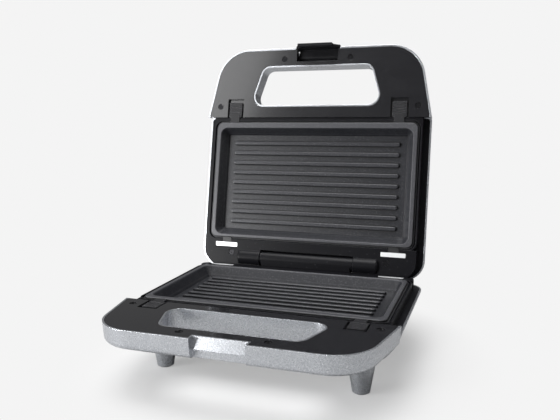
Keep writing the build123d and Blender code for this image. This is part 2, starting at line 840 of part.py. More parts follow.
def screws(half, points, level):
    """Pan-head screws, each with a cross recess."""
    seat = level + screw_recess_depth
    with BuildPart() as group:
        with BuildSketch(half.offset(seat - screw_head_height)):
            with Locations(*points):
                Circle(screw_head)
        extrude(amount=screw_head_height)
        with BuildSketch(half.offset(seat)):
            with Locations(*points):
                Circle(screw_shank)
        extrude(amount=screw_length - 1.8)
        with BuildSketch(half.offset(seat - screw_head_height - 0.1)):
            with Locations(*points):
                Rectangle(2.6, screw_slot)
                Rectangle(screw_slot, 2.6)
        extrude(amount=screw_head_height / 2 + 0.1, mode=Mode.SUBTRACT)
    return group


def hinge_pin():
    """Steel rod through the middle barrel and both knuckles."""
    with BuildPart() as pin:
        with BuildSketch(section(lid_half, -pin_half)):
            with Locations((hinge_y, hinge_depth)):
                Circle(pin_radius)
        extrude(amount=2 * pin_half)
    return pin


def foot_pad(place):
    """Rubber pad set into the end of a foot."""
    with BuildPart() as pad:
        with BuildSketch(base_half.offset(foot_height - pad_thickness)):
            with Locations(place):
                Circle(pad_radius)
        extrude(amount=pad_thickness)
        chamfer(pad.edges().group_by(Axis.Z)[0], 0.4)
    return pad


def cord_gland():
    """Bush in the rear wall that the cord passes through, with a rounded outer rim."""
    rear_plane = Plane(base_half.origin, x_dir=base_half.x_dir, z_dir=base_half.y_dir)
    with BuildPart() as gland:
        with BuildSketch(rear_plane.offset(gland_inner)):
            with Locations((gland_x, -gland_depth)):
                Circle(gland_radius)
        extrude(amount=gland_outer - gland_inner)
        with BuildSketch(rear_plane.offset(gland_outer)):
            with Locations((gland_x, -gland_depth)):
                Circle(gland_radius + gland_rim)
        extrude(amount=gland_rim)
        fillet(gland.edges().group_by(Axis.Y)[-1], gland_rim / 2)
        with BuildSketch(rear_plane.offset(gland_inner)):
            with Locations((gland_x, -gland_depth)):
                Circle(gland_bore)
        extrude(amount=gland_outer, mode=Mode.SUBTRACT)
    return gland


def terminals():
    """Block in the belly where the cord's wires meet the heaters' wires."""
    length, width, height = terminal_block
    with BuildPart() as block:
        with BuildSketch(base_half.offset(belly_depth - shell_wall - height)):
            with Locations((0, terminal_block_y)):
                Rectangle(length, width)
        extrude(amount=height)
        with BuildSketch(base_half.offset(belly_depth - shell_wall - height)):
            with Locations((0, terminal_block_y)):
                with GridLocations(length / 3, width / 2, 3, 2):
                    Circle(screw_shank + 0.5)
        extrude(amount=height / 2, mode=Mode.SUBTRACT)
    return block


def lens(place):
    """Round indicator lens with a domed outer end and a flange inside the shell."""
    inner = belly_depth - shell_wall
    with BuildPart() as light:
        with BuildSketch(lid_half.offset(inner - lens_flange)):
            with Locations(place):
                Circle(lens_radius + 1.2)
        extrude(amount=lens_flange)
        with BuildSketch(lid_half.offset(inner)):
            with Locations(place):
                Circle(lens_radius)
        extrude(amount=shell_wall + lens_dome)
        fillet(light.edges().group_by(outward(lid_half))[-1], lens_dome * 0.9)
    return light


def indicator_lamps():
    """Neon lamp behind each lens."""
    with BuildPart() as lamps:
        with BuildSketch(lid_half.offset(belly_depth - shell_wall - lens_flange - lamp_length)):
            with Locations(*lens_places):
                Circle(lamp_radius)
        extrude(amount=lamp_length)
    return lamps


# ----------------------------------------------------------------------------- latch
def latch():
    """Snap latch on the lid: a grip over the front edge, and a hook for the base's catch."""
    hook_level = -(lid_gap + catch_depth + 0.4)
    tip = hook_level - latch_hook
    lean = tan(radians(latch_lean))
    face = -handle_reach - latch_cap_rise
    inner = face + latch_wall
    lip_end = catch_front + latch_bite
    with BuildPart() as grip:
        # side view: the grip's outer wall, the hook's lip and the arm to the pin
        with BuildSketch(section(latch_frame, -latch_cap_half)):
            with BuildLine():
                Polyline(
                    (face, 0),
                    (face + 0.6, latch_cap_depth),
                    (inner + latch_swell, latch_cap_depth),
                    (inner + latch_swell, 4.0),
                    (inner, 0),
                    (inner - hook_level * lean, hook_level),
                    (lip_end, hook_level),
                    (lip_end - 0.8, tip),
                    (face - tip * lean, tip),
                    close=True,
                )
            make_face()
        extrude(amount=2 * latch_cap_half)
        # front view: wide over the lid's edge, narrower where it drops into the base's notch
        front = Plane(latch_frame.origin, x_dir=latch_frame.x_dir, z_dir=-latch_frame.y_dir)
        with BuildSketch(front.offset(handle_reach - 20)):
            with BuildLine():
                Polyline(
                    (latch_cap_half, latch_cap_depth + 1),
                    (latch_cap_half, latch_shoulder),
                    (latch_tip_half, -latch_chamfer_end),
                    (latch_tip_half, tip - 1),
                    (-latch_tip_half, tip - 1),
                    (-latch_tip_half, -latch_chamfer_end),
                    (-latch_cap_half, latch_shoulder),
                    (-latch_cap_half, latch_cap_depth + 1),
                    close=True,
                )
            make_face()
        extrude(amount=40, mode=Mode.INTERSECT)
        with BuildSketch(section(latch_frame, -latch_arm_half)):
            with Locations((latch_pin_y, latch_pin_depth)):
                Circle(latch_boss)
            with BuildLine():
                Polyline(
                    (inner - 0.5, latch_pin_depth - 3),
                    (latch_pin_y, latch_pin_depth - latch_boss),
                    (latch_pin_y, latch_pin_depth),
                    (inner - 0.5, latch_pin_depth),
                    close=True,
                )
            make_face()
        extrude(amount=2 * latch_arm_half)
        with BuildSketch(section(latch_frame, -latch_cap_half)):
            with Locations((latch_pin_y, latch_pin_depth)):
                Circle(latch_pin_radius + pin_clearance)
        extrude(amount=2 * latch_cap_half, mode=Mode.SUBTRACT)
    return grip


def latch_pin():
    """Pin that the latch swings on, held in the walls beside its notch."""
    with BuildPart() as pin:
        with BuildSketch(section(lid_half, -lid_notch_half - 1.2)):
            with Locations((latch_pin_y, latch_pin_depth)):
                Circle(latch_pin_radius)
        extrude(amount=2 * (lid_notch_half + 1.2))
    return pin


# ------------------------------------------------------------------------------ write
keep(base_shell(), "base_shell")
keep(lid_shell(), "lid_shell")
keep(front_bezel(base_half, notch_half + catch_wall + seam, notch_rear + seam), "base_front_bezel")
keep(lid_bezel(), "lid_front_bezel")
keep(base_frame(), "base_frame")
keep(lid_frame(), "lid_frame")
for name, half in (("base", base_half), ("lid", lid_half)):
    keep(grill_plate(half), f"{name}_grill_plate")
    keep(reflector(half), f"{name}_reflector")
    keep(heating_element(half), f"{name}_heating_element")
    keep(element_saddles(half), f"{name}_element_saddles")
    keep(thermostat(half), f"{name}_thermostat")
    keep(thermal_fuse(half), f"{name}_thermal_fuse")
    keep(plate_clips(half), f"{name}_plate_clips")
    keep(screws(half, both_sides(screw_points), 0), f"{name}_bezel_screws")
    for side_name, x_sign in (("left", -1), ("right", 1)):
        side = x_sign * (1 if half is lid_half else -1)
        keep(release_lever(half, side), f"{name}_release_lever_{side_name}")
keep(screws(base_half, both_sides([base_screw]), base_screw_depth), "base_frame_screws")
keep(screws(lid_half, both_sides([lid_screw]), 0), "lid_frame_screws")
keep(hinge_pin(), "hinge_pin")
for place, spot in zip(foot_places, ("front_left", "front_right", "rear_left", "rear_right")):
    keep(foot_pad(place), f"foot_pad_{spot}")
keep(cord_gland(), "cord_gland")
keep(terminals(), "terminal_block")
keep(lens(lens_places[0]), "power_lens")
keep(lens(lens_places[1]), "ready_lens")
keep(indicator_lamps(), "indicator_lamps")
keep(latch(), "latch")
keep(latch_pin(), "latch_pin")
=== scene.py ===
"""Finishes, light and camera for the open panini press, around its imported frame."""

import logging
import math
from dataclasses import dataclass, field
from enum import Enum
from typing import Any

import bmesh
import bpy
from mathutils import Matrix, Vector

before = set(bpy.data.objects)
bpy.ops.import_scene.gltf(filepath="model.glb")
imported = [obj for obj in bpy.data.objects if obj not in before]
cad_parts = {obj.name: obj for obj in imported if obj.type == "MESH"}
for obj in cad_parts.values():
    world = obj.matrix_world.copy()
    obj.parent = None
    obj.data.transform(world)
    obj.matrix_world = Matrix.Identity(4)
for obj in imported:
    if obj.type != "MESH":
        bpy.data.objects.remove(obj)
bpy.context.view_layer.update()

Triple = tuple[float, float, float]
Colour = Triple
MM = 0.001
MIX_COLOUR_INPUTS = (6, 7)
MIX_COLOUR_OUTPUT = 2
PATTERN_MIDDLE = 0.5
BEVEL_SAMPLES = 6
CREASE_SAMPLES = 8
log = logging.getLogger("panini_press")


# ------------------------------------------------------------------- parts of the press
class Half(Enum):
    """The two halves of the press, by the prefix of their nodes."""

    BASE = "base"
    LID = "lid"


class Side(Enum):
    """Left or right, as seen from the front."""

    LEFT = "left"
    RIGHT = "right"


# ------------------------------------------------------------------- shader expressions
def grey(level: float) -> tuple[float, float, float, float]:
    """A grey of one level.

    Args:
        level: From 0, black, to 1, white.

    Returns:
        The colour as a shader socket takes it.
    """
    return (level, level, level, 1.0)


@dataclass(frozen=True)
class Wire:
    """An output socket that does maths through Math nodes.

    Attributes:
        bench: Where the nodes are added.
        socket: The output socket.
    """

    bench: "Bench"
    socket: bpy.types.NodeSocket

    def __add__(self, other: "Wire | float") -> "Wire":
        """Sum."""
        return self.bench.maths("ADD", self, other)

    def __radd__(self, other: float) -> "Wire":
        """Sum with a number on the left."""
        return self.bench.maths("ADD", other, self)

    def __sub__(self, other: "Wire | float") -> "Wire":
        """Difference."""
        return self.bench.maths("SUBTRACT", self, other)

    def __rsub__(self, other: float) -> "Wire":
        """Difference from a number on the left."""
        return self.bench.maths("SUBTRACT", other, self)

    def __mul__(self, other: "Wire | float") -> "Wire":
        """Product."""
        return self.bench.maths("MULTIPLY", self, other)

    def __rmul__(self, other: float) -> "Wire":
        """Product with a number on the left."""
        return self.bench.maths("MULTIPLY", other, self)

    def clamped(self, low: float = 0.0, high: float = 1.0) -> "Wire":
        """The value held between two limits.

        Args:
            low: The lower limit.
            high: The upper limit.

        Returns:
            The held value.
        """
        return self.bench.maths("MAXIMUM", self.bench.maths("MINIMUM", self, high), low)

    def swing(self, reach: float) -> "Wire":
        """A pattern of 0 to 1 as a swing to both sides of zero.

        Args:
            reach: From the lowest to the highest value.

        Returns:
            The swing.
        """
        return reach * (self - PATTERN_MIDDLE)

    def shared(self, share: float, other: "Wire") -> "Wire":
        """This pattern mixed with another.

        Args:
            share: The share of this one; the other has the rest.
            other: The other pattern.

        Returns:
            The mixture, held between 0 and 1.
        """
        return (share * self + (1.0 - share) * other).clamped()


class Bench:
    """Builds the nodes of one material or world.

    Args:
        owner: The material or world whose node tree is filled.
    """

    def __init__(self, owner: bpy.types.Material | bpy.types.World) -> None:
        owner.use_nodes = True
        self.tree = owner.node_tree
        self.tree.nodes.clear()

    def node(
        self,
        kind: str,
        settings: dict[str, Any] | None = None,
        inputs: dict[Any, Any] | None = None,
    ) -> bpy.types.Node:
        """Adds a node.

        Args:
            kind: Its type name.
            settings: Attributes that are set first.
            inputs: Values or wires for its sockets, by name or number.

        Returns:
            The node.
        """
        made = self.tree.nodes.new(kind)
        for name, value in (settings or {}).items():
            setattr(made, name, value)
        for key, value in (inputs or {}).items():
            if isinstance(value, Wire):
                self.tree.links.new(value.socket, made.inputs[key])
            else:
                made.inputs[key].default_value = value
        return made

    def out(self, node: bpy.types.Node, socket: str | int = 0) -> Wire:
        """A node's output as a wire.

        Args:
            node: The node.
            socket: The output's name or number.

        Returns:
            The wire.
        """
        return Wire(self, node.outputs[socket])

    def maths(self, operation: str, first: Wire | float, second: Wire | float) -> Wire:
        """One Math node on two values.

        Args:
            operation: The node's operation.
            first: The first value.
            second: The second value.

        Returns:
            The result.
        """
        made = self.node("ShaderNodeMath", {"operation": operation}, {0: first, 1: second})
        return self.out(made)

    def vector_maths(self, operation: str, *vectors: Wire | Triple) -> Wire:
        """One Vector Math node that gives a number.

        Args:
            operation: The node's operation.
            vectors: Its inputs in order.

        Returns:
            The number.
        """
        inputs = dict(enumerate(vectors))
        made = self.node("ShaderNodeVectorMath", {"operation": operation}, inputs)
        return self.out(made, "Value")

    def place(self, stretch: Triple = (1.0, 1.0, 1.0)) -> Wire:
        """Object coordinates in metres.

        Args:
            stretch: What they are multiplied by along each axis.

        Returns:
            The coordinates.
        """
        where = self.out(self.node("ShaderNodeTexCoord"), "Object")
        if stretch == (1.0, 1.0, 1.0):
            return where
        inputs = {"Vector": where, "Scale": stretch}
        return self.out(self.node("ShaderNodeMapping", inputs=inputs))

    def noise(self, size: float, detail: float, where: Wire | None = None) -> Wire:
        """Soft noise.

        Args:
            size: About how many metres across its blots are.
            detail: How many finer layers lie on them.
            where: The coordinates, when they aren't the plain ones.

        Returns:
            A level from 0 to 1.
        """
        inputs = {"Vector": where or self.place(), "Scale": 1.0 / size, "Detail": detail}
        return self.out(self.node("ShaderNodeTexNoise", inputs=inputs), "Fac")

    def grains(self, size: float) -> Wire:
        """Cells that each have a level of their own.

        Args:
            size: About how many metres across they are.

        Returns:
            A level from 0 to 1.
        """
        inputs = {"Vector": self.place(), "Scale": 1.0 / size}
        cells = self.node("ShaderNodeTexVoronoi", inputs=inputs)
        split = self.node("ShaderNodeSeparateColor", inputs={0: self.out(cells, "Color")})
        return self.out(split, 0)

    def band(self, value: Wire, low: float, high: float) -> Wire:
        """A smooth step.

        Args:
            value: The value that is mapped.
            low: Where the step starts, at 0.
            high: Where it ends, at 1.

        Returns:
            The step.
        """
        settings = {"interpolation_type": "SMOOTHSTEP"}
        inputs = {"Value": value, "From Min": low, "From Max": high}
        return self.out(self.node("ShaderNodeMapRange", settings, inputs))

    def blend(self, share: Wire, first: Colour | Wire, second: Colour | Wire) -> Wire:
        """Mixes two colours.

        Args:
            share: The second colour's share.
            first: The first colour.
            second: The second colour.

        Returns:
            The mixture.
        """
        made = self.node("ShaderNodeMix", {"data_type": "RGBA"}, {"Factor": share})
        for number, colour in zip(MIX_COLOUR_INPUTS, (first, second)):
            if isinstance(colour, Wire):
                self.tree.links.new(colour.socket, made.inputs[number])
            else:
                made.inputs[number].default_value = (*colour, 1.0)
        return self.out(made, MIX_COLOUR_OUTPUT)

    def rounded(self, radius: float) -> Wire:
        """A normal that is rounded at every hard edge.

        Args:
            radius: The rounding's radius in metres.

        Returns:
            The normal.
        """
        settings = {"samples": BEVEL_SAMPLES}
        return self.out(self.node("ShaderNodeBevel", settings, {"Radius": radius}))

    def edges(self, rounded: Wire, gain: float) -> Wire:
        """How near a spot is to a hard edge, from the turn of the rounded normal.

        Args:
            rounded: The rounded normal.
            gain: How fast the result grows with the turn.

        Returns:
            A level from 0, away from edges, to 1.
        """
        flat = self.out(self.node("ShaderNodeNewGeometry"), "Normal")
        turn = 1.0 - self.vector_maths("DOT_PRODUCT", rounded, flat)
        return (turn * gain).clamped()

    def bump(self, height: Wire, depth: float, normal: Wire) -> Wire:
        """Raises a pattern on a normal.

        Args:
            height: The pattern.
            depth: Its depth in metres.
            normal: The normal below it.

        Returns:
            The new normal.
        """
        inputs = {"Height": height, "Distance": depth, "Strength": 1.0, "Normal": normal}
        return self.out(self.node("ShaderNodeBump", inputs=inputs))

    def shader(self, kind: str, **values: Any) -> Wire:
        """A shader node.

        Args:
            kind: Its type name.
            values: What its sockets get, by name.

        Returns:
            The shader's output.
        """
        return self.out(self.node(kind, inputs=values))

    def mix(self, share: Wire, first: Wire, second: Wire) -> Wire:
        """Mixes two shaders.

        Args:
            share: The second shader's share.
            first: The first shader.
            second: The second shader.

        Returns:
            The mixture.
        """
        inputs = {0: share, 1: first, 2: second}
        return self.out(self.node("ShaderNodeMixShader", inputs=inputs))

    def seen(self) -> Wire:
        """1 where a surface is looked at directly, 0 where it lights or is mirrored."""
        return self.out(self.node("ShaderNodeLightPath"), "Is Camera Ray")

    def finish(self, constants: dict[str, Any], wires: dict[str, Wire]) -> None:
        """Adds the surface shader and the output.

        Args:
            constants: Fixed values of the shader's sockets.
            wires: Patterns for the others.
        """
        shader = self.node("ShaderNodeBsdfPrincipled", inputs={**constants, **wires})
        self.node("ShaderNodeOutputMaterial", inputs={"Surface": self.out(shader)})


# ---------------------------------------------------------------------------- finishes
@dataclass(frozen=True)
class Finish:
    """A finish: subclasses lay the pattern that belongs to its material.

    Attributes:
        name: The material's name.
        colour: Its main colour.
        roughness: Its mean roughness.
        edge_radius: How far its hard edges look rounded.
    """

    name: str
    colour: Colour
    roughness: float
    edge_radius: float = 0.3 * MM

    def material(self) -> bpy.types.Material:
        """The finish as a material, built once.

        Returns:
            The material with this finish's name.
        """
        known = bpy.data.materials.get(self.name)
        if known is not None:
            return known
        made = bpy.data.materials.new(self.name)
        made.diffuse_color = (*self.colour, 1.0)
        self.lay(Bench(made))
        return made

    def lay(self, bench: Bench) -> None:
        """Fills the material's nodes.

        Args:
            bench: Where the nodes are added.
        """
        raise NotImplementedError

    def tone(self, factor: float, offset: float = 0.0) -> Colour:
        """A lighter or darker tone of the main colour.

        Args:
            factor: What each channel is multiplied by.
            offset: What is then added to it.

        Returns:
            The tone.
        """
        return tuple(channel * factor + offset for channel in self.colour)


@dataclass(frozen=True)
class FlakePaint(Finish):
    """Silver paint: metal flakes under a clear coat, with soft clouding between them.

    Attributes:
        dark: Colour of the flakes that lie turned away.
        flake: Size of a flake.
        flake_share: The flakes' share of the colour; the clouding has the rest.
        flake_polish: How much smoother a bright flake is.
        flake_rise: The flakes' share of the relief.
        cloud: Size of the clouding.
        cloud_rough: How much rougher a bright cloud is.
        glint: Colour of the flakes that flash.
        glint_share: How much of it shows on them.
        glint_from: The level above which a flake flashes.
        peel: Size of the waves that spraying leaves.
        peel_rise: The waves' share of the relief.
        relief: Depth of the relief.
    """

    dark: Colour = (0.45, 0.465, 0.50)
    flake: float = 0.45 * MM
    flake_share: float = 0.70
    flake_polish: float = 0.05
    flake_rise: float = 0.6
    cloud: float = 1.3 * MM
    cloud_rough: float = 0.06
    glint: Colour = (0.95, 0.96, 0.98)
    glint_share: float = 0.9
    glint_from: float = 0.93
    peel: float = 7 * MM
    peel_rise: float = 0.5
    relief: float = 0.012 * MM

    def lay(self, bench: Bench) -> None:
        """Flakes vary the colour, the roughness and the normal."""
        rounded = bench.rounded(self.edge_radius)
        fine = bench.grains(self.flake)
        cloud = bench.noise(self.cloud, detail=3.0)
        colour = bench.blend(fine.shared(self.flake_share, cloud), self.dark, self.colour)
        sparkle = bench.band(fine, self.glint_from, 1.0)
        colour = bench.blend(sparkle * self.glint_share, colour, self.glint)
        height = self.flake_rise * fine + self.peel_rise * bench.noise(self.peel, detail=1.0)
        rough = self.roughness + self.cloud_rough * cloud - self.flake_polish * fine
        bench.finish(
            {"Metallic": 0.88, "Coat Roughness": 0.16, "Coat Weight": 0.2},
            {
                "Base Color": colour,
                "Roughness": rough,
                "Normal": bench.bump(height, self.relief, rounded),
            },
        )


@dataclass(frozen=True)
class Moulding(Finish):
    """Moulded plastic: a spark-eroded grain, faint flow marks and edges that use polishes and
    lightens; on the levers the lighter edges are a painted highlight.

    Attributes:
        grain: Size of the grain.
        grain_depth: Depth of the grain.
        grain_rough: Reach of the grain's changes of roughness.
        flow: Size of the flow marks.
        flow_stretch: How the marks are drawn out along the axes.
        flow_rough: Reach of the marks' changes of roughness.
        grain_share: The grain's share of the colour's changes; the marks have the rest.
        lift: What the lighter tone is multiplied by.
        lift_offset: What is added to it.
        wear_and_highlight: Colour of specks and of the lighter edges, which are use and, on the
            levers, a painted highlight.
        edge_wear_and_highlight: How much of it shows on the edges, as use and painted highlight.
        edge_gain: How sharply the edges are picked out.
        edge_polish: How much smoother the edges are.
        speck: Size of the cells that a few specks are taken from.
        speck_from: The level above which a cell is a speck.
        speck_share: How much a speck shows.
        coat: Weight of the glossy skin.
        shine: Level of the plain reflection.
    """

    grain: float = 0.5 * MM
    grain_depth: float = 0.01 * MM
    grain_rough: float = 0.05
    flow: float = 38 * MM
    flow_stretch: Triple = (1.0, 2.4, 2.4)
    flow_rough: float = 0.10
    grain_share: float = 0.5
    lift: float = 1.45
    lift_offset: float = 0.002
    wear_and_highlight: Colour = (0.10, 0.10, 0.11)
    edge_wear_and_highlight: float = 0.5
    edge_gain: float = 2.5
    edge_polish: float = 0.06
    speck: float = 0.9 * MM
    speck_from: float = 0.985
    speck_share: float = 0.25
    coat: float = 0.0
    shine: float = 0.25

    def lay(self, bench: Bench) -> None:
        """The grain goes into the bump, and use into the colour and the roughness; the levers'
        lighter edges are a painted highlight.
        """
        rounded = bench.rounded(self.edge_radius)
        edge = bench.edges(rounded, self.edge_gain)
        grain = bench.noise(self.grain, detail=3.0)
        marks = bench.noise(self.flow, detail=4.0, where=bench.place(self.flow_stretch))
        speck = bench.band(bench.grains(self.speck), self.speck_from, 1.0)
        light = self.tone(self.lift, self.lift_offset)
        colour = bench.blend(grain.shared(self.grain_share, marks), self.colour, light)
        # Lighter edges: use, and on the levers a painted highlight.
        colour = bench.blend(edge * self.edge_wear_and_highlight, colour, self.wear_and_highlight)
        colour = bench.blend(speck * self.speck_share, colour, self.wear_and_highlight)
        rough = self.roughness + marks.swing(self.flow_rough) + grain.swing(self.grain_rough)
        rough = rough - self.edge_polish * edge
        bench.finish(
            {
                "Coat Weight": self.coat,
                "Coat Roughness": 0.12,
                "Specular IOR Level": self.shine,
            },
            {
                "Base Color": colour,
                "Roughness": rough.clamped(0.04, 0.95),
                "Normal": bench.bump(grain, self.grain_depth, rounded),
            },
        )


@dataclass(frozen=True)
class Coating(Finish):
    """Non-stick coating on cast metal: pebbled, with bright specks, lighter rims, painted
    highlight over thinned coating on rib tops and edges, and painted shade in creases.

    Attributes:
        outward: Direction from the cooking side to the casing.
        face: Level of the plate's rim along that direction.
        thin_coat_and_highlight: Lighter colour of the rims, and of thinned coating with painted
            highlight on rib tops and edges.
        rim: Depths below the face over which the rim's lighter band ends.
        rim_share: How much lighter the rim is drawn.
        rib_start: Depths over which the ribs' tops start.
        rib_end: Depths over which they end.
        rib_wear_and_highlight: How much the ribs' tops are lightened, as thinned coating and
            painted highlight.
        rib_polish: How much smoother they are.
        edge_gain: How sharply the edges are picked out.
        edge_thin_and_highlight: How much the edges are lightened, as thinned coating and painted
            highlight.
        edge_polish: How much smoother they are.
        crease_shade: Painted shade at the bottom of creases, where shade falls.
        crease_reach: How wide a gap still gets the painted shade.
        crease_levels: Openness from full painted shade to none.
        crease_rough: How much rougher the creases are.
        pebble: Size of the pebbles.
        pebble_depth: Their depth.
        pebble_share: Their share of the colour's changes; the film has the rest.
        film: Size of the clouds of baked-on film.
        pattern_rough: Reach of both patterns' changes of roughness.
        lift: What the lighter tone is multiplied by.
        speck: Colour of the specks.
        speck_size: Size of the specks.
        speck_from: The level above which a cell is a speck.
        speck_share: How much a speck shows.
    """

    outward: Triple = (0.0, 0.0, -1.0)
    face: float = 0.0
    thin_coat_and_highlight: Colour = (0.26, 0.26, 0.28)
    rim: tuple[float, float] = (-0.3 * MM, 0.5 * MM)
    rim_share: float = 0.16
    rib_start: tuple[float, float] = (6.9 * MM, 7.2 * MM)
    rib_end: tuple[float, float] = (7.5 * MM, 8.2 * MM)
    rib_wear_and_highlight: float = 0.07
    rib_polish: float = 0.06
    edge_gain: float = 2.2
    edge_thin_and_highlight: float = 0.8
    edge_polish: float = 0.10
    crease_shade: Colour = (0.002, 0.002, 0.0025)
    crease_reach: float = 3.2 * MM
    crease_levels: tuple[float, float] = (0.50, 0.98)
    crease_rough: float = 0.35
    pebble: float = 0.9 * MM
    pebble_depth: float = 0.06 * MM
    pebble_share: float = 0.45
    film: float = 24 * MM
    pattern_rough: float = 0.10
    lift: float = 1.5
    speck: Colour = (0.20, 0.20, 0.21)
    speck_size: float = 0.55 * MM
    speck_from: float = 0.86
    speck_share: float = 0.30

    def lay(self, bench: Bench) -> None:
        """Pebbles, specks, lighter rims, painted highlight over thinned coating on rib tops and
        edges, and painted shade in creases.
        """
        level = bench.vector_maths("DOT_PRODUCT", bench.place(), self.outward)
        depth = level - self.face
        rims = 1.0 - bench.band(depth, *self.rim)
        ribs = bench.band(depth, *self.rib_start) * (1.0 - bench.band(depth, *self.rib_end))
        settings = {"samples": CREASE_SAMPLES}
        inputs = {"Distance": self.crease_reach}
        gap = bench.node("ShaderNodeAmbientOcclusion", settings, inputs)
        clear = bench.band(bench.out(gap, "AO"), *self.crease_levels)
        rounded = bench.rounded(self.edge_radius)
        edge = bench.edges(rounded, self.edge_gain) * clear
        pebble = bench.noise(self.pebble, detail=2.0)
        speck = bench.band(bench.grains(self.speck_size), self.speck_from, 1.0)
        film = bench.noise(self.film, detail=3.0)
        light = self.tone(self.lift)
        colour = bench.blend(pebble.shared(self.pebble_share, film), self.colour, light)
        colour = bench.blend(speck * self.speck_share, colour, self.speck)
        # Rims are drawn lighter; rib tops get painted highlight over thinned coating.
        wear_and_highlight = (self.rim_share * rims + self.rib_wear_and_highlight * ribs).clamped()
        colour = bench.blend(wear_and_highlight, colour, self.thin_coat_and_highlight)
        # Convex edges get painted highlight over thinned coating.
        colour = bench.blend(edge * self.edge_thin_and_highlight, colour, self.thin_coat_and_highlight)
        # Painted shade: creases go dark where shade falls below the ribs.
        colour = bench.blend(clear, self.crease_shade, colour)
        rough = self.roughness + film.swing(self.pattern_rough)
        rough = rough + pebble.swing(self.pattern_rough) - self.edge_polish * edge
        rough = rough + self.crease_rough * (1.0 - clear) - self.rib_polish * ribs
        bench.finish(
            {"Metallic": 0.08, "Specular IOR Level": 0.45},
            {
                "Base Color": colour,
                "Roughness": rough.clamped(0.15, 0.95),
                "Normal": bench.bump(pebble, self.pebble_depth, rounded),
            },
        )


@dataclass(frozen=True)
class Steel(Finish):
    """Drawn or pressed metal: grain lines along one axis, with heat or handling stains.

    Attributes:
        stain: Colour of the stains.
        stain_share: How much of it shows.
        stain_size: Size of the stains.
        stain_levels: The noise levels from none to a full stain.
        stain_rough: How much rougher a stain is.
        run: How the coordinates are stretched, least along the grain's axis.
        grain: Spacing of the grain lines.
        grain_dark: What the colour is multiplied by between the lines.
        grain_rough: Reach of the lines' changes of roughness.
        grain_depth: Depth of the lines.
    """

    stain: Colour = (0.35, 0.30, 0.25)
    stain_share: float = 0.25
    stain_size: float = 14 * MM
    stain_levels: tuple[float, float] = (0.45, 0.75)
    stain_rough: float = 0.10
    run: Triple = (0.02, 1.0, 1.0)
    grain: float = 0.35 * MM
    grain_dark: float = 0.72
    grain_rough: float = 0.16
    grain_depth: float = 0.008 * MM

    def lay(self, bench: Bench) -> None:
        """Grain lines and stains."""
        rounded = bench.rounded(self.edge_radius)
        lines = bench.noise(self.grain, detail=3.0, where=bench.place(self.run))
        blot = bench.band(bench.noise(self.stain_size, detail=4.0), *self.stain_levels)
        colour = bench.blend(lines, self.tone(self.grain_dark), self.colour)
        colour = bench.blend(blot * self.stain_share, colour, self.stain)
        rough = self.roughness + lines.swing(self.grain_rough) + self.stain_rough * blot
        bench.finish(
            {"Metallic": 1.0},
            {
                "Base Color": colour,
                "Roughness": rough.clamped(0.05, 0.9),
                "Normal": bench.bump(lines, self.grain_depth, rounded),
            },
        )


@dataclass(frozen=True)
class ClipSteel(Finish):
    """Bright bar whose tongue, nearer the plate, is blackened.

    Attributes:
        back: Direction from the plate's middle to its rear edge.
        bar_front: Where the bright bar starts along that direction.
        bar_blur: Half the width of the change from black to bright.
        black: Painted shade on the tongue.
        metallic: How metallic the bar is.
        grain: Size of the grain.
        grain_dark: What the colour is multiplied by in the grain's hollows.
        grain_rough: How much rougher the grain's heights are.
        grain_depth: Depth of the grain.
    """

    back: Triple = (0.0, 1.0, 0.0)
    bar_front: float = 0.0
    bar_blur: float = 0.1 * MM
    black: Colour = (0.008, 0.008, 0.009)
    metallic: float = 0.75
    grain: float = 0.35 * MM
    grain_dark: float = 0.86
    grain_rough: float = 0.15
    grain_depth: float = 0.004 * MM

    def lay(self, bench: Bench) -> None:
        """Fine grain on the bar, painted shade before its front edge."""
        rounded = bench.rounded(self.edge_radius)
        along = bench.vector_maths("DOT_PRODUCT", bench.place(), self.back)
        bar = bench.band(along, self.bar_front - self.bar_blur, self.bar_front + self.bar_blur)
        grain = bench.noise(self.grain, detail=3.0)
        bright = bench.blend(grain, self.tone(self.grain_dark), self.colour)
        bench.finish(
            {},
            {
                # Painted shade: the tongue in its dark groove is drawn black and not metallic.
                "Base Color": bench.blend(bar, self.black, bright),
                "Metallic": self.metallic * bar,
                "Roughness": self.roughness + self.grain_rough * grain,
                "Normal": bench.bump(grain, self.grain_depth, rounded),
            },
        )


@dataclass(frozen=True)
class Rubber(Finish):
    """Soft rubber: matt, with patches of dust.

    Attributes:
        dust: Colour of the dust.
        dust_share: How much of it shows.
        dust_size: Size of the patches.
        dust_levels: The noise levels from none to full dust.
        dust_rough: How much rougher the dust is.
        grain: Size of the grain.
        grain_depth: Its depth.
    """

    dust: Colour = (0.11, 0.105, 0.10)
    dust_share: float = 0.6
    dust_size: float = 6 * MM
    dust_levels: tuple[float, float] = (0.40, 0.75)
    dust_rough: float = 0.12
    grain: float = 0.7 * MM
    grain_depth: float = 0.05 * MM

    def lay(self, bench: Bench) -> None:
        """Grain and dust."""
        rounded = bench.rounded(self.edge_radius)
        grain = bench.noise(self.grain, detail=4.0)
        dust = bench.band(bench.noise(self.dust_size, detail=4.0), *self.dust_levels)
        bench.finish(
            {"Specular IOR Level": 0.35},
            {
                "Base Color": bench.blend(dust * self.dust_share, self.colour, self.dust),
                "Roughness": (self.roughness + self.dust_rough * dust).clamped(),
                "Normal": bench.bump(grain, self.grain_depth, rounded),
            },
        )


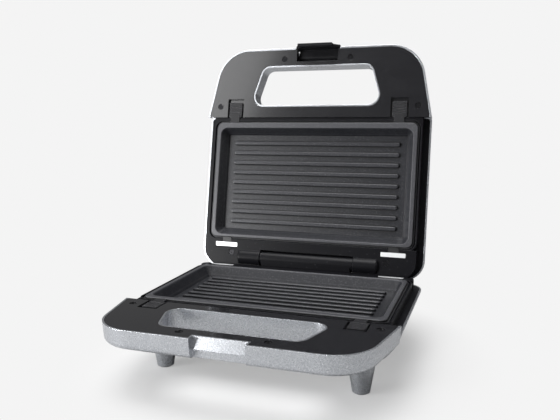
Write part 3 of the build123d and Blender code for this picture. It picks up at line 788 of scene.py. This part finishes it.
@dataclass(frozen=True)
class LensPlastic(Finish):
    """Tinted lens: glossy, with a pricked diffusing pattern below its surface.

    Attributes:
        deep: Colour between the pattern's walls.
        cells: How many cells of the pattern lie along a metre.
        wall: Share of a cell over which its wall rises.
        wall_share: The walls' share of the colour; the haze has the rest.
        wall_depth: Depth of the pattern.
        haze: Size of the haze.
        haze_rough: How much rougher the haze is.
    """

    deep: Colour = (0.05, 0.0, 0.0)
    cells: float = 900.0
    wall: float = 0.14
    wall_share: float = 0.75
    wall_depth: float = 0.01 * MM
    haze: float = 3 * MM
    haze_rough: float = 0.08

    def lay(self, bench: Bench) -> None:
        """Cells of the diffusing pattern."""
        inputs = {"Vector": bench.place(), "Scale": self.cells}
        cells = bench.node("ShaderNodeTexVoronoi", {"feature": "DISTANCE_TO_EDGE"}, inputs)
        wall = bench.band(bench.out(cells), 0.0, self.wall)
        haze = bench.noise(self.haze, detail=2.0)
        colour = bench.blend(wall.shared(self.wall_share, haze), self.deep, self.colour)
        bench.finish(
            {"Coat Weight": 0.6, "Coat Roughness": 0.03, "Specular IOR Level": 0.6},
            {
                "Base Color": colour,
                "Roughness": (self.roughness + self.haze_rough * haze).clamped(),
                "Normal": bench.bump(wall, self.wall_depth, bench.rounded(self.edge_radius)),
            },
        )


# Directions and levels of the two halves, with the lid open at rest.
OPEN_ANGLE = math.radians(101.9)
LID_BACK = (0.0, math.cos(OPEN_ANGLE), -math.sin(OPEN_ANGLE))
LID_OUTWARD = (0.0, math.sin(OPEN_ANGLE), math.cos(OPEN_ANGLE))
BASE_FACE = -62.3 * MM
LID_FACE = 61.3 * MM
BASE_BAR_FRONT = 66.4 * MM
LID_BAR_FRONT = -99.25 * MM

PLATE_GREY = (0.013, 0.0135, 0.0165)
CLIP_BRIGHT = (0.90, 0.91, 0.92)
HANDLED_BLACK = (0.05, 0.05, 0.055)

SILVER = FlakePaint("silver_flake_paint", (0.72, 0.74, 0.775), 0.28, edge_radius=0.45 * MM)
BLACK_GLOSS = Moulding(
    "black_gloss_moulding",
    (0.006, 0.006, 0.0075),
    0.24,
    edge_radius=0.25 * MM,
    grain=3.0 * MM,
    grain_depth=0.004 * MM,
    wear_and_highlight=HANDLED_BLACK,
    edge_wear_and_highlight=0.4,
    coat=0.8,
    shine=0.5,
)
BLACK_SATIN = Moulding(
    "black_satin_moulding", (0.005, 0.005, 0.0062), 0.34, edge_radius=0.4 * MM, shine=0.12
)
LATCH_BLACK = Moulding(
    "black_latch_moulding",
    (0.008, 0.008, 0.009),
    0.34,
    edge_radius=0.45 * MM,
    grain=0.4 * MM,
    grain_depth=0.012 * MM,
    wear_and_highlight=HANDLED_BLACK,
    shine=0.12,
)
LEVER_BLACK = Moulding(
    "black_lever_moulding",
    (0.014, 0.014, 0.0155),
    0.42,
    edge_radius=0.25 * MM,
    grain=0.35 * MM,
    grain_depth=0.012 * MM,
    # The levers' pale edges are a painted highlight.
    wear_and_highlight=(0.30, 0.30, 0.32),
    edge_wear_and_highlight=0.9,
)
TERMINAL_PLASTIC = Moulding(
    "terminal_plastic",
    (0.62, 0.60, 0.54),
    0.5,
    edge_radius=0.2 * MM,
    grain_depth=0.02 * MM,
    wear_and_highlight=(0.75, 0.73, 0.68),
    edge_wear_and_highlight=0.4,
)
BASE_COATING = Coating(
    "base_non_stick_coating", PLATE_GREY, 0.37, edge_radius=0.55 * MM, face=BASE_FACE
)
LID_COATING = Coating(
    "lid_non_stick_coating",
    PLATE_GREY,
    0.37,
    edge_radius=0.55 * MM,
    outward=LID_OUTWARD,
    face=LID_FACE,
)
BASE_CLIP = ClipSteel(
    "bright_base_clip", CLIP_BRIGHT, 0.40, edge_radius=0.2 * MM, bar_front=BASE_BAR_FRONT
)
LID_CLIP = ClipSteel(
    "bright_lid_clip",
    CLIP_BRIGHT,
    0.40,
    edge_radius=0.2 * MM,
    back=LID_BACK,
    bar_front=LID_BAR_FRONT,
)
BLACK_STEEL = Steel(
    "blackened_screw_steel",
    (0.035, 0.035, 0.038),
    0.34,
    edge_radius=0.12 * MM,
    stain=(0.03, 0.03, 0.03),
    stain_share=0.4,
)
GROUND_STEEL = Steel("ground_pin_steel", (0.62, 0.62, 0.63), 0.25, edge_radius=0.15 * MM)
ROLLED_SHEET = Steel(
    "rolled_reflector_sheet",
    (0.86, 0.86, 0.86),
    0.26,
    edge_radius=0.2 * MM,
    stain=(0.72, 0.66, 0.56),
    stain_share=0.3,
)
HEATER_SHEATH = Steel(
    "heat_dulled_sheath",
    (0.34, 0.32, 0.30),
    0.48,
    edge_radius=0.2 * MM,
    stain=(0.16, 0.12, 0.10),
    stain_share=0.6,
)
PRESSED_ZINC = Steel(
    "zinc_plated_sheet",
    (0.62, 0.62, 0.60),
    0.38,
    edge_radius=0.2 * MM,
    stain=(0.45, 0.44, 0.40),
    stain_share=0.5,
    run=(1.0, 1.0, 1.0),
    grain=2.0 * MM,
)
PAD_RUBBER = Rubber("foot_pad_rubber", (0.028, 0.028, 0.028), 0.72)
GLAND_RUBBER = Rubber("gland_rubber", (0.016, 0.016, 0.017), 0.58, dust=(0.06, 0.06, 0.06))
RED_LENS = LensPlastic("red_lens", (0.62, 0.02, 0.012), 0.14, deep=(0.20, 0.003, 0.002))
GREEN_LENS = LensPlastic("green_lens", (0.04, 0.46, 0.07), 0.14, deep=(0.006, 0.13, 0.012))
NEON_GLASS = LensPlastic("neon_lamp_glass", (0.80, 0.42, 0.24), 0.10, deep=(0.35, 0.16, 0.08))


# ------------------------------------------------------------------------ sub-assemblies
@dataclass
class SubAssembly:
    """A group of the press's pieces and how they are dressed.

    Attributes:
        name: What the log calls it.
    """

    name: str

    def finishes(self) -> dict[str, Finish]:
        """What each of the group's nodes wears.

        Returns:
            The finishes by node name.
        """
        raise NotImplementedError

    def build(self) -> None:
        """Dresses the group's nodes and reports them."""
        for node, finish in self.finishes().items():
            self.dress(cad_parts[node], finish)
            log.info("%s: %s in %s", self.name, node, finish.name)

    @staticmethod
    def dress(piece: bpy.types.Object, finish: Finish) -> None:
        """Gives a piece one finish in all its slots.

        Args:
            piece: The piece's object.
            finish: Its finish.
        """
        material = finish.material()
        if not piece.material_slots:
            piece.data.materials.append(material)
        for slot in piece.material_slots:
            slot.material = material


@dataclass
class Casings(SubAssembly):
    """The silver casings of both halves."""

    def finishes(self) -> dict[str, Finish]:
        """Paint on both shells."""
        return {f"{half.value}_shell": SILVER for half in Half}


@dataclass
class HandleCovers(SubAssembly):
    """The black covers of the handles with their screws."""

    def finishes(self) -> dict[str, Finish]:
        """Gloss on the covers, black steel on the screws."""
        made: dict[str, Finish] = {}
        for half in Half:
            made[f"{half.value}_front_bezel"] = BLACK_GLOSS
            made[f"{half.value}_bezel_screws"] = BLACK_STEEL
        return made


@dataclass
class PlateFrames(SubAssembly):
    """The frames round the plates and the hinge, with their screws and clips."""

    def finishes(self) -> dict[str, Finish]:
        """Satin on the frames, black steel on the screws, bright steel on the clips."""
        made: dict[str, Finish] = {"hinge_pin": GROUND_STEEL}
        for half in Half:
            made[f"{half.value}_frame"] = BLACK_SATIN
            made[f"{half.value}_frame_screws"] = BLACK_STEEL
            made[f"{half.value}_plate_clips"] = LID_CLIP if half is Half.LID else BASE_CLIP
        return made


@dataclass
class GrillPlates(SubAssembly):
    """The ribbed plates and the levers that free them."""

    def finishes(self) -> dict[str, Finish]:
        """Non-stick on the plates, grained black on the levers."""
        made: dict[str, Finish] = {}
        for half in Half:
            coating = LID_COATING if half is Half.LID else BASE_COATING
            made[f"{half.value}_grill_plate"] = coating
            for side in Side:
                made[f"{half.value}_release_lever_{side.value}"] = LEVER_BLACK
        return made


@dataclass
class HeatWorks(SubAssembly):
    """What lies between each plate and its casing."""

    def finishes(self) -> dict[str, Finish]:
        """Bare metals, and the terminal block's plastic."""
        made: dict[str, Finish] = {
            "terminal_block": TERMINAL_PLASTIC,
            "indicator_lamps": NEON_GLASS,
        }
        for half in Half:
            made[f"{half.value}_reflector"] = ROLLED_SHEET
            made[f"{half.value}_heating_element"] = HEATER_SHEATH
            made[f"{half.value}_element_saddles"] = PRESSED_ZINC
            made[f"{half.value}_thermostat"] = PRESSED_ZINC
            made[f"{half.value}_thermal_fuse"] = PRESSED_ZINC
        return made


@dataclass
class SmallFittings(SubAssembly):
    """Latch, lenses, pads and the cord's bush."""

    def finishes(self) -> dict[str, Finish]:
        """One finish for each fitting."""
        made: dict[str, Finish] = {
            "latch": LATCH_BLACK,
            "latch_pin": BLACK_STEEL,
            "cord_gland": GLAND_RUBBER,
            "power_lens": RED_LENS,
            "ready_lens": GREEN_LENS,
        }
        for end in ("front", "rear"):
            for side in Side:
                made[f"foot_pad_{end}_{side.value}"] = PAD_RUBBER
        return made


# ------------------------------------------------------------------------------- studio
@dataclass(frozen=True)
class SoftBox:
    """An oblong white studio light that faces a point.

    Attributes:
        name: Its name.
        place: Where it stands.
        target: What it faces.
        size: Width and height.
        power: Watts.
    """

    name: str
    place: Triple
    target: Triple
    size: tuple[float, float]
    power: float

    def build(self) -> None:
        """Hangs the light."""
        data = bpy.data.lights.new(self.name, "AREA")
        data.shape = "RECTANGLE"
        data.size, data.size_y = self.size
        data.energy = self.power
        lamp = bpy.data.objects.new(self.name, data)
        aim = Vector(self.target) - Vector(self.place)
        lamp.rotation_euler = aim.to_track_quat("-Z", "Y").to_euler()
        lamp.location = self.place
        bpy.context.scene.collection.objects.link(lamp)


@dataclass
class Studio:
    """Camera, pale floor, pale surroundings and soft boxes.

    Attributes:
        eye: Where the camera stands.
        right: The camera's own x axis.
        up: The camera's own y axis.
        back: The camera's own z axis, away from what it looks at.
        lens: Its focal length in millimetres.
        sensor: Its sensor's width in millimetres.
        clip_start: The nearest distance that it shows.
        paper: How pale the surroundings and the far floor look.
        ambient: How strongly the surroundings light the press.
        floor_size: Half the floor's width.
        floor_cuts: Faces along the floor's side.
        floor_bounce: The floor's grey in the light that it throws back.
        floor_self: The near floor's own light as it is looked at.
        floor_lit: The near floor's grey as it is looked at.
        fade: Distances from the middle over which near floor turns into far floor.
        boxes: The soft boxes.
    """

    eye: Triple = (0.18838, -0.54488, 0.22950)
    right: Triple = (0.94505641, 0.32681547, -0.00774803)
    up: Triple = (-0.04484085, 0.15307101, 0.98719733)
    back: Triple = (0.32381736, -0.93260973, 0.15931542)
    lens: float = 40.84
    sensor: float = 36.0
    clip_start: float = 0.01
    paper: float = 0.905
    ambient: float = 0.13
    floor_size: float = 14.0
    floor_cuts: int = 4
    floor_bounce: float = 0.40
    floor_self: float = 0.34
    floor_lit: float = 0.40
    fade: tuple[float, float] = (0.10, 0.21)
    boxes: list[SoftBox] = field(
        default_factory=lambda: [
            SoftBox("left_box", (-1.35, -1.30, 1.20), (0.0, 0.0, 0.12), (1.4, 0.8), 10.5),
            SoftBox("low_left_box", (-1.15, -1.05, 0.20), (0.0, -0.05, 0.05), (0.8, 0.38), 29.0),
            SoftBox("overhead_box", (-0.15, -0.10, 1.60), (0.0, 0.0, 0.10), (1.2, 1.0), 30.0),
            SoftBox("right_fill", (1.7, 0.1, 0.7), (0.0, 0.0, 0.10), (0.8, 0.9), 2.5),
        ]
    )

    def camera(self) -> None:
        """Sets the camera at its viewing angle."""
        data = bpy.data.cameras.new("view")
        data.lens, data.sensor_width, data.clip_start = self.lens, self.sensor, self.clip_start
        eye = bpy.data.objects.new("view", data)
        turn = Matrix((self.right, self.up, self.back)).transposed().to_4x4()
        eye.matrix_world = Matrix.Translation(self.eye) @ turn
        bpy.context.scene.collection.objects.link(eye)
        bpy.context.scene.camera = eye

    def surroundings(self) -> None:
        """Even light all round, which looks as pale as the far floor."""
        world = bpy.data.worlds.new("studio_walls")
        bpy.context.scene.world = world
        bench = Bench(world)
        white = grey(1.0)
        light = bench.shader("ShaderNodeBackground", Color=white, Strength=self.ambient)
        paper = bench.shader("ShaderNodeBackground", Color=white, Strength=self.paper)
        whole = bench.mix(bench.seen(), light, paper)
        bench.node("ShaderNodeOutputWorld", inputs={"Surface": whole})

    def floor_material(self) -> bpy.types.Material:
        """Plain pale floor, which fades into the surroundings.

        Returns:
            The floor's material.
        """
        material = bpy.data.materials.new("pale_floor")
        bench = Bench(material)
        far = bench.vector_maths("LENGTH", bench.place())
        lit = bench.shader("ShaderNodeBsdfDiffuse", Color=grey(self.floor_lit))
        glow = bench.shader("ShaderNodeEmission", Strength=self.floor_self)
        near = bench.out(bench.node("ShaderNodeAddShader", inputs={0: lit, 1: glow}))
        paper = bench.shader("ShaderNodeEmission", Strength=self.paper)
        shown = bench.mix(bench.band(far, *self.fade), near, paper)
        bounce = bench.shader("ShaderNodeBsdfDiffuse", Color=grey(self.floor_bounce))
        whole = bench.mix(bench.seen(), bounce, shown)
        bench.node("ShaderNodeOutputMaterial", inputs={"Surface": whole})
        return material

    def floor(self) -> None:
        """Lays the wide floor that the soft shadows fall on."""
        mesh = bpy.data.meshes.new("floor")
        cuts = self.floor_cuts
        sheet = bmesh.new()
        bmesh.ops.create_grid(sheet, x_segments=cuts, y_segments=cuts, size=self.floor_size)
        sheet.to_mesh(mesh)
        sheet.free()
        floor = bpy.data.objects.new("floor", mesh)
        bpy.context.scene.collection.objects.link(floor)
        mesh.materials.append(self.floor_material())

    def build(self) -> None:
        """Sets up the studio."""
        self.camera()
        self.surroundings()
        self.floor()
        for box in self.boxes:
            box.build()
        bpy.context.scene.view_settings.view_transform = "Standard"
        log.info("studio: camera, floor and %d soft boxes", len(self.boxes))


def main() -> None:
    """Builds the studio and every sub-assembly in order."""
    logging.basicConfig(level=logging.INFO, format="%(name)s %(message)s")
    Studio().build()
    for group in (
        Casings("casings"),
        HandleCovers("handle covers"),
        PlateFrames("plate frames"),
        GrillPlates("grill plates"),
        HeatWorks("heat works"),
        SmallFittings("small fittings"),
    ):
        group.build()


if __name__ == "__main__":
    main()
